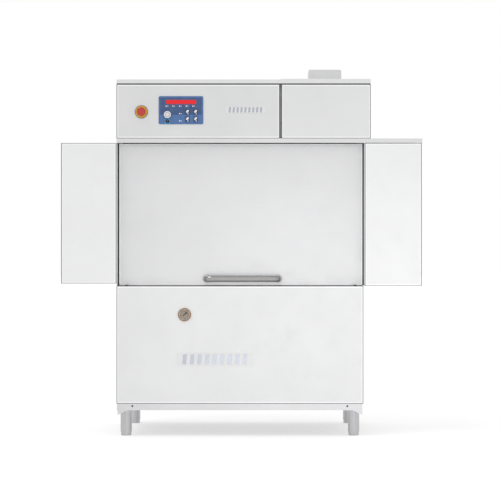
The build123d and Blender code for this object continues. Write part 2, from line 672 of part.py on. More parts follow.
def all_parts():
    parts = {
        "base_frame": base_frame(),
        "bottom_rail": bottom_rail(),
        "frame_screws": frame_screws(),
        "leg_tubes": leg_tubes(),
        "apron_panel": apron_panel(),
        "base_shell": base_shell(),
        "hood_shell": hood_shell(),
        "cowl_left": cowl(-HALF_LENGTH, BODY_L, 692.0),
        "cowl_right": cowl(BODY_R + 6, HALF_LENGTH - 3, 681.0),
        "ledge": ledge(),
        "fascia_panel": fascia_panel(),
        "right_cover_panel": right_cover_panel(),
        "guide_frame": guide_frame(),
        "control_lids": control_lids(),
        "top_housing": top_housing(),
        "exhaust_cap": exhaust_cap(),
        "fan_motor": fan_motor(),
        "fan_impeller": fan_impeller(),
        "electrical_box": electrical_box(),
        "cable_gland": cable_gland(),
        "door_outer_skin": door_outer_skin(),
        "door_inner_skin": door_inner_skin(),
        "door_handle": door_handle(),
        "door_bumpers": door_bumpers(),
        "counterweights": counterweights(),
        "pulley_shaft": pulley_shaft(),
        "estop_bezel": estop_bezel(),
        "estop_cap": estop_cap(),
        "control_panel": control_panel(),
        "start_button": start_button(),
        "selector_knob": selector_knob(),
        "gauge_case": gauge_case(),
        "gauge_dial": gauge_dial(),
        "gauge_needle": gauge_needle(),
        "badges": badges(),
        "wash_tank": wash_tank(),
        "strainer_tray": strainer_tray(),
        "overflow_standpipe": overflow_standpipe(),
        "heater_element": heater_element(),
        "pump_housing": pump_housing(),
        "pump_motor": pump_motor(),
        "pump_impeller": pump_impeller(),
        "wash_manifold": wash_manifold(),
        "rinse_manifold": rinse_manifold(),
        "track_rails": track_rails(),
        "pawl_carriage": pawl_carriage(),
        "gearmotor": gearmotor(),
        "drive_rocker": drive_rocker(),
    }
    for i, x in enumerate((-250.0, 250.0)):
        parts[f"pawl_shaft_{i + 1}"] = pawl_shaft(x)
    for name, x in zip(("entry_curtain", "exit_curtain"), CURTAIN_X):
        parts[name] = strip_curtain(x)
    for side, x in zip(("left", "right"), LEG_X):
        for end, y in (("front", -LEG_Y), ("rear", LEG_Y)):
            parts[f"foot_{end}_{side}"] = levelling_foot(x, y)
    for row, z in zip(("upper", "lower"), KEY_Z):
        for side, x in zip(("left", "right"), KEY_X):
            parts[f"key_{row}_{side}"] = keypad_key(x, z)
    return parts


os.makedirs("parts", exist_ok=True)
for node, shape in all_parts().items():
    export_step(shape, os.path.join("parts", node + ".step"))
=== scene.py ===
import json
import math

import bmesh
import bpy
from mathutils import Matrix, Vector


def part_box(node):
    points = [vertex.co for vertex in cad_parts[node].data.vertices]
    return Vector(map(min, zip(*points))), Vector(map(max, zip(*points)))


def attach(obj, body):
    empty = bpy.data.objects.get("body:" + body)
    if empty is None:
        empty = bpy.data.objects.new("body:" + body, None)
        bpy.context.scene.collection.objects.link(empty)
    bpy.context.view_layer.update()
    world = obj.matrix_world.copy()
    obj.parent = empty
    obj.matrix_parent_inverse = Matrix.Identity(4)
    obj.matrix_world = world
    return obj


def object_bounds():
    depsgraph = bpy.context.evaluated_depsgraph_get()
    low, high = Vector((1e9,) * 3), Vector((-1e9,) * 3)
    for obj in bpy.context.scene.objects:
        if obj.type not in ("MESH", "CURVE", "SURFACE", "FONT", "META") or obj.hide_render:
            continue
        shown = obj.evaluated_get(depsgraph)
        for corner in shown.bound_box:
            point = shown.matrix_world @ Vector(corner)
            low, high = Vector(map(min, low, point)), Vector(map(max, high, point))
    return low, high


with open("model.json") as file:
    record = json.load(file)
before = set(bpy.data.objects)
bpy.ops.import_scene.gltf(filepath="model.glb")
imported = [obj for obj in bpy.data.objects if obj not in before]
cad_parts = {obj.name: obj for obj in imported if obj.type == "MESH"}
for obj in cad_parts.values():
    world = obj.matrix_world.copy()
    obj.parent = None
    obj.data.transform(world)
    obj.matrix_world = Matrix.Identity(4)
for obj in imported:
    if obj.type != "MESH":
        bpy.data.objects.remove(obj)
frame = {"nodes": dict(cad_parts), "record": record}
cad_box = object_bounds()

ROOT = "cabinet"
FLOOR_Z = cad_box[0][2]
MM = 0.001
ROUND_STEPS = 48


def linear(r, g, b):
    """Linear colour from 8-bit display values."""
    def one(v):
        v /= 255.0
        return v / 12.92 if v <= 0.04045 else ((v + 0.055) / 1.055) ** 2.4
    return (one(r), one(g), one(b), 1.0)


def scaled(colour, factor):
    """The same colour, darker or lighter by a factor."""
    return tuple(min(1.0, c * factor) for c in colour[:3]) + (1.0,)


# ---- materials ----

class Shader:
    """A Principled material with short helpers for its procedural detail."""

    def __init__(self, name, colour, metallic, rough):
        self.mat = bpy.data.materials.new(name)
        self.mat.use_nodes = True
        self.tree = self.mat.node_tree
        self.bsdf = self.tree.nodes["Principled BSDF"]
        self.bsdf.inputs["Base Color"].default_value = colour
        self.bsdf.inputs["Metallic"].default_value = metallic
        self.bsdf.inputs["Roughness"].default_value = rough
        self.colour = colour
        self.coords = self.node("ShaderNodeTexCoord").outputs["Object"]

    def node(self, kind, **values):
        made = self.tree.nodes.new(kind)
        for key, value in values.items():
            setattr(made, key, value)
        return made

    def link(self, a, b):
        self.tree.links.new(a, b)

    def noise(self, scale, detail, stretch=(1, 1, 1)):
        mapping = self.node("ShaderNodeMapping")
        mapping.inputs["Scale"].default_value = stretch
        self.link(self.coords, mapping.inputs["Vector"])
        tex = self.node("ShaderNodeTexNoise")
        tex.inputs["Scale"].default_value = scale
        tex.inputs["Detail"].default_value = detail
        tex.inputs["Roughness"].default_value = 0.55
        self.link(mapping.outputs["Vector"], tex.inputs["Vector"])
        return tex.outputs["Fac"]

    def remap(self, value, lo, hi, from_lo=0.3, from_hi=0.7):
        ramp = self.node("ShaderNodeMapRange")
        ramp.inputs["From Min"].default_value = from_lo
        ramp.inputs["From Max"].default_value = from_hi
        ramp.inputs["To Min"].default_value = lo
        ramp.inputs["To Max"].default_value = hi
        self.link(value, ramp.inputs["Value"])
        return ramp.outputs["Result"]

    def math(self, kind, a, b):
        made = self.node("ShaderNodeMath", operation=kind)
        for value, socket in ((a, made.inputs[0]), (b, made.inputs[1])):
            if isinstance(value, (int, float)):
                socket.default_value = value
            else:
                self.link(value, socket)
        return made.outputs[0]

    def mix(self, factor, a, b):
        made = self.node("ShaderNodeMix", data_type="RGBA")
        self.link(factor, made.inputs["Factor"])
        for value, socket in ((a, made.inputs[6]), (b, made.inputs[7])):
            if isinstance(value, tuple):
                socket.default_value = value
            else:
                self.link(value, socket)
        return made.outputs[2]

    def shade(self, factor):
        """The base colour, from a little darker to a little lighter as the factor rises."""
        return self.mix(factor, scaled(self.colour, 0.86), scaled(self.colour, 1.07))

    def edges(self, radius):
        """1 along worn edges and 0 on flat faces."""
        bevel = self.node("ShaderNodeBevel", samples=4)
        bevel.inputs["Radius"].default_value = radius
        geometry = self.node("ShaderNodeNewGeometry")
        dot = self.node("ShaderNodeVectorMath", operation="DOT_PRODUCT")
        self.link(bevel.outputs["Normal"], dot.inputs[0])
        self.link(geometry.outputs["Normal"], dot.inputs[1])
        return self.remap(dot.outputs["Value"], 1.0, 0.0, 0.80, 0.99)

    def set_colour(self, colour):
        self.link(colour, self.bsdf.inputs["Base Color"])

    def set_rough(self, value):
        self.link(value, self.bsdf.inputs["Roughness"])

    def bump(self, height, strength, distance):
        made = self.node("ShaderNodeBump")
        made.inputs["Strength"].default_value = strength
        made.inputs["Distance"].default_value = distance
        self.link(height, made.inputs["Height"])
        self.link(made.outputs["Normal"], self.bsdf.inputs["Normal"])


def brushed(name, colour, rough, grain, metallic=0.85, streak=0.10):
    """Brushed stainless: fine grain, soft smudges, brighter worn edges."""
    s = Shader(name, colour, metallic, rough)
    fine = s.noise(1.0, 4.0, grain)
    smudge = s.noise(5.0, 4.0)
    tone = s.math("ADD", s.math("MULTIPLY", fine, 0.55), s.math("MULTIPLY", smudge, 0.45))
    body = s.shade(s.remap(tone, 0.5 - streak * 2, 0.5 + streak * 2))
    s.set_colour(s.mix(s.edges(0.0012), body, scaled(colour, 1.12)))
    finger = s.remap(s.noise(16.0, 6.0), 0.0, 0.08, 0.52, 0.72)
    s.set_rough(s.math("ADD", s.remap(fine, rough - 0.06, rough + 0.07), finger))
    s.bump(fine, 0.10, 0.0002)
    return s.mat


def painted(name, colour, rough, grain_scale=900.0, strength=0.15, coat=0.0):
    """Moulded plastic or paint with a fine texture, dust and rubbed edges."""
    s = Shader(name, colour, 0.0, rough)
    fine = s.noise(grain_scale, 3.0)
    broad = s.noise(30.0, 3.0)
    body = s.shade(s.remap(broad, 0.25, 0.75))
    rubbed = tuple(min(1.0, c * 1.25 + 0.02) for c in colour[:3]) + (1.0,)
    s.set_colour(s.mix(s.math("MULTIPLY", s.edges(0.0008), 0.6), body, rubbed))
    s.set_rough(s.remap(broad, rough - 0.05, rough + 0.08))
    s.bump(fine, strength, 0.0001)
    s.bsdf.inputs["Coat Weight"].default_value = coat
    return s.mat


def cast(name, colour):
    """Rough cast iron with pits."""
    s = Shader(name, colour, 0.7, 0.6)
    grain = s.noise(260.0, 5.0)
    s.set_colour(s.shade(s.remap(s.noise(24.0, 4.0), 0.0, 1.0)))
    s.set_rough(s.remap(grain, 0.48, 0.78))
    s.bump(grain, 0.5, 0.0008)
    return s.mat


def keypad_film(name):
    """Two-tone blue membrane: a medium border and lower field, a dark upper field."""
    medium, dark = linear(64, 98, 148), linear(44, 70, 112)
    s = Shader(name, medium, 0.0, 0.38)
    lo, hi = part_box("control_panel")
    border = 7 * MM
    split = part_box("start_button")[0][2] + 16.5 * MM
    xyz = s.node("ShaderNodeSeparateXYZ")
    s.link(s.coords, xyz.inputs["Vector"])
    mask = s.math("GREATER_THAN", xyz.outputs["X"], lo[0] + border)
    mask = s.math("MULTIPLY", mask, s.math("LESS_THAN", xyz.outputs["X"], hi[0] - border))
    mask = s.math("MULTIPLY", mask, s.math("GREATER_THAN", xyz.outputs["Z"], split))
    mask = s.math("MULTIPLY", mask, s.math("LESS_THAN", xyz.outputs["Z"], hi[2] - border))
    field = s.mix(mask, medium, dark)
    haze = s.remap(s.noise(40.0, 3.0), 0.0, 0.12)
    s.set_colour(s.mix(haze, field, linear(120, 150, 190)))
    s.set_rough(s.remap(s.noise(60.0, 4.0), 0.30, 0.46))
    s.bump(s.noise(1400.0, 2.0), 0.12, 0.00005)
    return s.mat


def glass(name):
    """Clear lens with faint smears."""
    s = Shader(name, (1, 1, 1, 1), 0.0, 0.04)
    s.bsdf.inputs["Transmission Weight"].default_value = 1.0
    s.bsdf.inputs["IOR"].default_value = 1.1
    s.set_rough(s.remap(s.noise(90.0, 4.0), 0.01, 0.08))
    return s.mat


def glowing(name, colour):
    """Lit display with a fine cell pattern."""
    s = Shader(name, colour, 0.0, 0.3)
    cells = s.noise(700.0, 1.0)
    s.set_colour(s.shade(s.remap(cells, 0.2, 0.8)))
    s.bsdf.inputs["Emission Color"].default_value = colour
    s.bsdf.inputs["Emission Strength"].default_value = 0.2
    s.set_rough(s.remap(cells, 0.22, 0.36))
    return s.mat


def dial_face(name):
    """Aged ivory dial with a soft fade."""
    s = Shader(name, linear(172, 158, 142), 0.0, 0.5)
    s.set_colour(s.shade(s.remap(s.noise(60.0, 4.0), 0.2, 0.8)))
    s.set_rough(s.remap(s.noise(200.0, 2.0), 0.42, 0.58))
    s.bump(s.noise(1500.0, 2.0), 0.08, 0.00004)
    return s.mat


def floor_paper(name):
    """Pale seamless paper."""
    s = Shader(name, (0.40, 0.40, 0.40, 1.0), 0.0, 0.85)
    s.bsdf.inputs["Emission Color"].default_value = (1.0, 1.0, 1.0, 1.0)
    s.bsdf.inputs["Emission Strength"].default_value = 0.60
    s.bsdf.inputs["Specular IOR Level"].default_value = 0.1
    s.bump(s.noise(40.0, 4.0), 0.05, 0.001)
    return s.mat


# How far the grain noise is stretched along X, Y and Z.
ACROSS = (9, 1300, 1300)
UPWARD = (1300, 1300, 9)
ALONG_Y = (1300, 9, 1300)
# The cowl and apron steels are lighter copies, and the door and housing steels darker copies, of one brushed
# stainless: painted light and painted shade.
STEEL = (0.70, 0.702, 0.706, 1.0)
COWL_LIT_STEEL = (0.78, 0.782, 0.786, 1.0)
DOOR_SHADED_STEEL = (0.66, 0.662, 0.668, 1.0)
HOUSING_SHADED_STEEL = (0.67, 0.672, 0.676, 1.0)
# Dark steel of the hem beads is painted shade; bright steel of the folds is a painted highlight.
PAINTED_SHADE_STEEL = (0.20, 0.20, 0.205, 1.0)
PAINTED_HIGHLIGHT_STEEL = (0.86, 0.86, 0.865, 1.0)

panel_steel = brushed("panel_steel", STEEL, 0.42, ACROSS)
# The door and housing copies are darker by painted shade, the apron and cowl copies lighter by painted light.
door_shaded_steel = brushed("door_shaded_steel", scaled(DOOR_SHADED_STEEL, 1.05), 0.36, ACROSS)
apron_lit_steel = brushed("apron_lit_steel", scaled(STEEL, 1.04), 0.42, ACROSS)
cowl_lit_steel = brushed("cowl_lit_steel", COWL_LIT_STEEL, 0.42, ACROSS)
painted_shade_steel = brushed("painted_shade_steel", PAINTED_SHADE_STEEL, 0.35, ACROSS)
painted_highlight_steel = brushed("painted_highlight_steel", PAINTED_HIGHLIGHT_STEEL, 0.35, ACROSS)
housing_shaded_steel = brushed("housing_shaded_steel", HOUSING_SHADED_STEEL, 0.40, ACROSS)
side_steel = brushed("side_steel", (0.64, 0.64, 0.65, 1.0), 0.40, ALONG_Y)
frame_steel = brushed("frame_steel", (0.66, 0.66, 0.67, 1.0), 0.30, ACROSS, 1.0, streak=0.2)
leg_steel = brushed("leg_steel", (0.50, 0.50, 0.51, 1.0), 0.22, UPWARD, 1.0, streak=0.2)
handle_steel = brushed("handle_steel", (0.36, 0.355, 0.35, 1.0), 0.22, UPWARD, 1.0)
inner_steel = brushed("inner_steel", (0.62, 0.62, 0.63, 1.0), 0.38, UPWARD, 1.0)
screw_dark = brushed("screw_dark", (0.12, 0.12, 0.13, 1.0), 0.35, ACROSS, 1.0)
rubber = painted("rubber", linear(38, 38, 40), 0.75, 500.0, 0.4)
curtain_rubber = painted("curtain_rubber", linear(92, 94, 98), 0.7, 300.0, 0.3)
grey_plastic = painted("grey_plastic", linear(112, 112, 116), 0.35)
red_plastic = painted("red_plastic", linear(176, 36, 28), 0.30, coat=0.4)
yellow_plastic = painted("yellow_plastic", linear(206, 158, 32), 0.38)
white_plastic = painted("white_plastic", linear(206, 206, 212), 0.34, coat=0.3)
frame_film = painted("frame_film", linear(34, 84, 130), 0.40)
key_film = painted("key_film", linear(44, 72, 114), 0.40)
label_ink = painted("label_ink", linear(226, 222, 214), 0.5)
black_plastic = painted("black_plastic", linear(28, 28, 30), 0.42)
cyan_film = painted("cyan_film", linear(36, 148, 198), 0.40)
brass = brushed("brass", linear(150, 116, 78), 0.28, UPWARD, 0.9)
chrome = brushed("chrome", (0.46, 0.48, 0.54, 1.0), 0.12, UPWARD, 1.0)
needle_paint = painted("needle_paint", linear(24, 24, 26), 0.5)
motor_paint = painted("motor_paint", linear(62, 78, 98), 0.45)
box_paint = painted("box_paint", linear(176, 178, 180), 0.5, 400.0, 0.4)
heater_steel = brushed("heater_steel", (0.34, 0.30, 0.27, 1.0), 0.4, ACROSS, 1.0)
pump_iron = cast("pump_iron", (0.26, 0.26, 0.27, 1.0))
weight_iron = cast("weight_iron", (0.12, 0.12, 0.125, 1.0))
blue_film = keypad_film("blue_film")
display_red = glowing("display_red", linear(205, 0, 12))
lens_glass = glass("lens_glass")
ivory = dial_face("ivory")

SLOT_MATERIAL = {
    "brushed_panel": panel_steel, "satin_steel": inner_steel, "polished_handle": handle_steel,
    "dark_screw": screw_dark, "black_rubber": rubber, "cast_weight": weight_iron,
    "grey_bezel": grey_plastic, "red_cap": red_plastic, "blue_panel": blue_film,
    "white_button": white_plastic, "white_key": key_film, "black_knob": black_plastic,
    "gauge_brass": brass, "gauge_face": ivory, "needle_black": needle_paint,
    "heater_sheath": heater_steel, "motor_paint": motor_paint, "pump_casting": pump_iron,
    "box_paint": box_paint, "curtain_rubber": curtain_rubber,
}
NODE_MATERIAL = {
    "cowl_left": cowl_lit_steel, "cowl_right": cowl_lit_steel, "right_cover_panel": panel_steel,
    "apron_panel": apron_lit_steel, "door_outer_skin": door_shaded_steel,
    "fascia_panel": housing_shaded_steel, "ledge": housing_shaded_steel,
    "base_shell": side_steel, "top_housing": side_steel, "hood_shell": side_steel,
    "base_frame": frame_steel, "bottom_rail": frame_steel, "leg_tubes": leg_steel,
    "foot_front_left": leg_steel, "foot_front_right": leg_steel,
    "foot_rear_left": leg_steel, "foot_rear_right": leg_steel,
}
# Edge softening in millimetres.
SOFT_EDGES = {
    "apron_panel": 1.2, "fascia_panel": 1.2, "right_cover_panel": 1.2, "door_outer_skin": 1.2,
    "cowl_left": 0.8, "cowl_right": 0.8, "ledge": 1.2, "control_lids": 1.2, "top_housing": 1.0,
    "bottom_rail": 0.6, "control_panel": 0.6, "badges": 0.8, "exhaust_cap": 0.8, "leg_tubes": 0.8,
    "electrical_box": 1.0, "gearmotor": 1.5, "base_frame": 1.0, "base_shell": 0.8,
}


def dress_nodes():
    """Materials and softened edges on the CAD pieces."""
    slots = {row["node"]: row["material_slot"] for row in frame["record"]["subparts"]}
    for name, obj in frame["nodes"].items():
        material = NODE_MATERIAL.get(name, SLOT_MATERIAL[slots[name]])
        obj.data.materials.clear()
        obj.data.materials.append(material)
        if name in SOFT_EDGES:
            bevel = obj.modifiers.new("soft_edges", "BEVEL")
            bevel.width = SOFT_EDGES[name] * MM
            bevel.segments = 2
            bevel.limit_method = "ANGLE"
            bevel.angle_limit = math.radians(40)
            bevel.harden_normals = False


# ---- mesh helpers ----

def add_piece(name, mesh, material, body, bevel=0.0, smooth=False):
    """Puts a finished mesh in the scene, on its body."""
    mesh.materials.append(material)
    obj = bpy.data.objects.new(name, mesh)
    bpy.context.scene.collection.objects.link(obj)
    for face in mesh.polygons:
        face.use_smooth = smooth
    if bevel:
        mod = obj.modifiers.new("bevel", "BEVEL")
        mod.width = bevel
        mod.segments = 2
        mod.limit_method = "ANGLE"
    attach(obj, body)


def from_bmesh(name, bm):
    """Mesh from a finished bmesh, with its faces turned outwards."""
    mesh = bpy.data.meshes.new(name)
    bmesh.ops.recalc_face_normals(bm, faces=bm.faces)
    bm.to_mesh(mesh)
    bm.free()
    return mesh


def extrude_outline(bm, outline, place, depth):
    """Prism from a closed 2D outline; place maps (u, v, w) to a 3D point and w runs 0 to depth."""
    count = len(outline)
    front = [bm.verts.new(place(u, v, 0.0)) for u, v in outline]
    back = [bm.verts.new(place(u, v, depth)) for u, v in outline]
    bm.faces.new(front)
    bm.faces.new(list(reversed(back)))
    for i in range(count):
        j = (i + 1) % count
        bm.faces.new((front[j], front[i], back[i], back[j]))


def on_front(x, y, z):
    """Place for pieces that stand on a front-facing surface at y and rise towards -Y."""
    return lambda u, v, w: (x + u, y - w, z + v)


def on_rear(x, y, z):
    """Place for pieces that rise towards +Y."""
    return lambda u, v, w: (x + u, y + w, z + v)


def on_side(x, y, z, way):
    """Place for pieces on an end face that rise towards -X or +X."""
    return lambda u, v, w: (x + way * w, y + u, z + v)


def raised(place, lift):
    """The same place, lifted off its surface."""
    return lambda u, v, w: place(u, v, w + lift)


def rounded_rect(width, height, radius, steps=5):
    """Rectangle outline about its centre, with round corners."""
    points = []
    for cx, cy, start in ((1, 1, 0), (-1, 1, 90), (-1, -1, 180), (1, -1, 270)):
        for i in range(steps + 1):
            a = math.radians(start + 90 * i / steps)
            points.append((cx * (width / 2 - radius) + radius * math.cos(a),
                           cy * (height / 2 - radius) + radius * math.sin(a)))
    return points


def oval(half_width, half_height, steps):
    """Ellipse outline about its centre."""
    angles = [2 * math.pi * i / steps for i in range(steps)]
    return [(half_width * math.cos(a), half_height * math.sin(a)) for a in angles]


def arc_band(outer, inner, start, sweep, steps):
    """Outline of a flat band between two arcs."""
    angles = [start + sweep * i / steps for i in range(steps + 1)]
    there = [(outer * math.cos(a), outer * math.sin(a)) for a in angles]
    back = [(inner * math.cos(a), inner * math.sin(a)) for a in reversed(angles)]
    return there + back


def turned(points, angle, dx=0.0, dy=0.0):
    """Outline turned about its origin and then moved."""
    c, s = math.cos(angle), math.sin(angle)
    return [(dx + u * c - v * s, dy + u * s + v * c) for u, v in points]


def lathe_y(name, profile, x, z, material, body, smooth=False):
    """Ring turned about a line along Y: profile is (radius, y) all round its section."""
    bm = bmesh.new()
    rings = []
    for i in range(ROUND_STEPS):
        a = 2 * math.pi * i / ROUND_STEPS
        rings.append([bm.verts.new((x + r * math.cos(a), y, z + r * math.sin(a))) for r, y in profile])
    count = len(profile)
    for i in range(ROUND_STEPS):
        a, b = rings[i], rings[(i + 1) % ROUND_STEPS]
        for j in range(count):
            k = (j + 1) % count
            bm.faces.new((a[j], a[k], b[k], b[j]))
    add_piece(name, from_bmesh(name, bm), material, body, smooth=smooth)


def plates(name, outlines, place, depth, material, body, bevel=0.0):
    """One piece made of several outlines raised from the same surface."""
    bm = bmesh.new()
    for outline in outlines:
        extrude_outline(bm, outline, place, depth)
    add_piece(name, from_bmesh(name, bm), material, body, bevel)


def centre(node):
    """Centre of a CAD piece's box."""
    lo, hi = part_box(node)
    return [(a + b) / 2 for a, b in zip(lo, hi)]


# ---- controls ----

def display():
    """Red readout with a comb of segment marks under it, in a thin dark frame."""
    lo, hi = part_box("control_panel")
    x, z = lo[0] + 101.5 * MM, hi[2] - 26 * MM
    width, height = 137 * MM, 18 * MM
    surround, window = 0.3 * MM, 0.5 * MM
    outline = rounded_rect(width + 8 * MM, height + 8 * MM, 1.5 * MM)
    plates("display_frame", [outline], on_front(x, lo[1], z), surround, frame_film, ROOT,
           0.1 * MM)
    outline = rounded_rect(width, height, 1.0 * MM)
    face = on_front(x, lo[1] - surround, z)
    plates("display_window", [outline], face, window, display_red, ROOT, 0.15 * MM)
    count = 12
    top, tip = -height / 2 - 0.3 * MM, -height / 2 - 4.0 * MM
    marks = []
    for i in range(count):
        u = -width / 2 + (i + 0.5) * width / count
        marks.append([(u - 2.6 * MM, top), (u + 2.6 * MM, top), (u, tip)])
    plates("display_marks", marks, face, 0.4 * MM, display_red, ROOT)


def label_mark():
    """A small square with a short bar beside it."""
    square = turned(rounded_rect(5.0 * MM, 5.0 * MM, 1.0 * MM), 0, -3.5 * MM)
    return [square, turned(rounded_rect(4.0 * MM, 2.6 * MM, 0.6 * MM), 0, 4.0 * MM)]


def panel_labels():
    """Blank printed bars that stand for the captions."""
    lo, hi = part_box("control_panel")
    ink = 0.12 * MM
    bars = label_mark()
    for i in range(5):
        place = on_front(lo[0] + (38 + 30.2 * i) * MM, lo[1], hi[2] - 45 * MM)
        plates(f"label_{i + 1}", bars, place, ink, label_ink, ROOT)
    heights = (centre("start_button")[2] + 5 * MM, centre("selector_knob")[2] + 2 * MM)
    for i, z in enumerate(heights):
        place = on_front(lo[0] + 99 * MM, lo[1], z)
        plates(f"side_label_{i + 1}", bars, place, ink, label_ink, ROOT)


def selector_surround():
    """Light blue square behind the rotary selector, and the selector's pointer."""
    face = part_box("control_panel")[0][1]
    x, _, z = centre("selector_knob")
    plates("selector_plate", [rounded_rect(24 * MM, 24 * MM, 1.2 * MM)], on_front(x, face, z), 0.25 * MM,
           cyan_film, ROOT)
    tip = turned(rounded_rect(1.4 * MM, 12 * MM, 0.6 * MM), 0, 0, 0.5 * MM)
    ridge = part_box("selector_knob")[0][1]
    plates("selector_pointer", [tip], on_front(x, ridge, z), 0.15 * MM, grey_plastic, "selector")


def key_icons():
    """A tilted leaf and a stem on each key."""
    leaf = turned(oval(7.6 * MM, 4.3 * MM, 20), math.radians(42), 0.5 * MM, 3.6 * MM)
    stem = [(-1.3 * MM, 5.5 * MM), (-1.1 * MM, -5.5 * MM), (1.3 * MM, -5.5 * MM), (1.5 * MM, 5.5 * MM)]
    stem = turned(stem, math.radians(18), 2.2 * MM, -5.4 * MM)
    for row in ("upper", "lower"):
        for side in ("left", "right"):
            name = f"key_{row}_{side}"
            x, _, z = centre(name)
            place = on_front(x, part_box(name)[0][1], z)
            plates(f"{name}_icon", [leaf, stem], place, 0.15 * MM, label_ink, f"{name}_body")


def emergency_stop():
    """Yellow collar round the stop button, and the turn arrows on its cap."""
    x, _, z = centre("estop_bezel")
    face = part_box("estop_bezel")[0][1]
    collar = [(8.0 * MM, face), (8.0 * MM, face - 0.5 * MM), (25.6 * MM, face - 0.5 * MM),
              (26.4 * MM, face - 0.1 * MM), (26.9 * MM, face + 1.2 * MM), (26.9 * MM, face + 3.6 * MM),
              (26.55 * MM, face + 3.6 * MM), (26.55 * MM, face)]
    lathe_y("estop_yellow_collar", collar, x, z, yellow_plastic, ROOT)
    arrows = [arc_band(13.0 * MM, 11.4 * MM, math.radians(start), 0.78, 6) for start in (30, 150, 270)]
    plates("estop_arrows", arrows, on_front(x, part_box("estop_cap")[0][1], z), 0.3 * MM, red_plastic,
           "estop_button")


def start_button_trim():
    """Thin dark ring round the start button, and the ring marked on its cap."""
    x, _, z = centre("start_button")
    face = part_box("control_panel")[0][1]
    ring = [(17.1 * MM, face), (17.1 * MM, face - 1.0 * MM), (17.8 * MM, face - 1.6 * MM),
            (19.4 * MM, face - 1.2 * MM), (19.8 * MM, face)]
    lathe_y("start_ring", ring, x, z, frame_film, ROOT, smooth=True)
    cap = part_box("start_button")[0][1]
    mark = [(9.0 * MM, cap), (9.0 * MM, cap - 0.4 * MM), (10.4 * MM, cap - 0.4 * MM), (10.4 * MM, cap)]
    lathe_y("start_mark", mark, x, z, grey_plastic, "start")


def gauge():
    """Inner ring, dial ticks, red band, pointer, hub cap and lens of the pressure gauge."""
    x, _, z = centre("gauge_case")
    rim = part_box("gauge_case")[0][1]
    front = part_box("gauge_dial")[0][1]
    dial = front + 4 * MM
    axis = 0.05 * MM
    ring = [(21.6 * MM, rim + 1.5 * MM), (23.9 * MM, rim + 0.6 * MM), (23.9 * MM, rim + 7.0 * MM),
            (21.6 * MM, rim + 7.0 * MM)]
    lathe_y("gauge_inner_ring", ring, x, z, chrome, ROOT)
    ticks = []
    for i in range(28):
        a = math.radians(225 - 10 * i)
        length, width, radius = (3.4, 0.7, 18.3) if i % 3 == 0 else (1.9, 0.4, 19.0)
        bar = rounded_rect(length * MM, width * MM, 0.15 * MM, 2)
        ticks.append(turned(bar, a, radius * MM * math.cos(a), radius * MM * math.sin(a)))
    plates("gauge_ticks", ticks, on_front(x, dial, z), 0.12 * MM, needle_paint, ROOT)
    band = arc_band(14.5 * MM, 13.4 * MM, math.radians(-40), math.radians(80), 10)
    plates("gauge_band", [band], on_front(x, dial, z), 0.1 * MM, red_plastic, ROOT)
    blade = [(-9 * MM, -1.6 * MM), (9 * MM, -1.9 * MM), (9 * MM, -3.6 * MM), (17.5 * MM, 0.0),
             (9 * MM, 3.6 * MM), (9 * MM, 1.9 * MM), (-9 * MM, 1.6 * MM)]
    plates("gauge_pointer", [turned(blade, math.radians(45))], on_front(x, front + 0.9 * MM, z),
           0.7 * MM, needle_paint, "needle")
    hub = [(axis, front - 1.2 * MM), (2.4 * MM, front - 0.9 * MM), (2.8 * MM, front - 0.1 * MM),
           (axis, front - 0.1 * MM)]
    lathe_y("gauge_hub", hub, x, z, brass, "needle", smooth=True)
    lens = [(axis, rim + 1.1 * MM), (12 * MM, rim + 1.5 * MM), (21.5 * MM, rim + 2.4 * MM),
            (21.5 * MM, rim + 3.2 * MM), (12 * MM, rim + 2.3 * MM), (axis, rim + 1.9 * MM)]
    lathe_y("gauge_lens", lens, x, z, lens_glass, ROOT, smooth=True)


# ---- panels and trim ----

def badge_relief():
    """Plain slanted bars on each blank badge."""
    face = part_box("fascia_panel")[0][1]
    # Name, then width, height, centre X, centre Z and thickness of the badge in millimetres.
    for name, width, height, x, z, proud in (("upper", 180, 30, 17, 1478, 2),
                                             ("lower", 347, 56, -122.5, 349, 3)):
        half = 0.40 * height * MM
        bars = []
        for i in range(9):
            u = (i - 4) * width * 0.098 * MM
            foot, lean = 0.030 * width * MM, 0.018 * width * MM
            bars.append([(u - foot, -half), (u + lean, -half), (u + foot, half), (u - lean, half)])
        plates(f"badge_bars_{name}", bars, on_front(x * MM, face - proud * MM, z * MM), 1.2 * MM, chrome,
               ROOT, 0.3 * MM)


def screw_row(name, spots, make_place):
    """Pan-head screws with a slot mark, grouped in one piece."""
    washer, head, mark = 1.2 * MM, 0.8 * MM, 0.12 * MM
    bm = bmesh.new()
    for u, v in spots:
        place = make_place(u, v)
        extrude_outline(bm, oval(5.2 * MM, 5.2 * MM, 20), place, washer)
        extrude_outline(bm, oval(3.6 * MM, 3.6 * MM, 16), raised(place, washer), head)
        bar = rounded_rect(4.6 * MM, 0.9 * MM, 0.3 * MM, 1)
        extrude_outline(bm, bar, raised(place, washer + head), mark)
    add_piece(name, from_bmesh(name, bm), frame_steel, ROOT, 0.2 * MM)


def panel_screws():
    """Fixing screws on the rear and the sides."""
    lo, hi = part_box("base_shell")
    xs = [lo[0] + (0.03 + 0.94 * i / 4) * (hi[0] - lo[0]) for i in range(5)]
    for name, node, inset in (("lower", "base_shell", 0.02), ("hood", "hood_shell", 0.03),
                              ("top", "top_housing", 0.02)):
        lo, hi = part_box(node)
        spots = [(x, z) for x in xs for z in (lo[2] + inset, hi[2] - inset)]
        screw_row(f"rear_screws_{name}", spots, lambda x, z, y=hi[1]: on_rear(x, y, z))
    for name, node, ys, inset in (("side_screws", "base_shell", (-0.33, 0.0, 0.35), 0.02),
                                  ("top_side_screws", "top_housing", (-0.26, 0.05, 0.35), 0.03)):
        lo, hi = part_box(node)
        spots = [(y, z) for y in ys for z in (lo[2] + inset, hi[2] - 0.02)]
        for side, x, way in (("left", lo[0], -1), ("right", hi[0], 1)):
            screw_row(f"{name}_{side}", spots, lambda y, z, x=x, way=way: on_side(x, y, z, way))


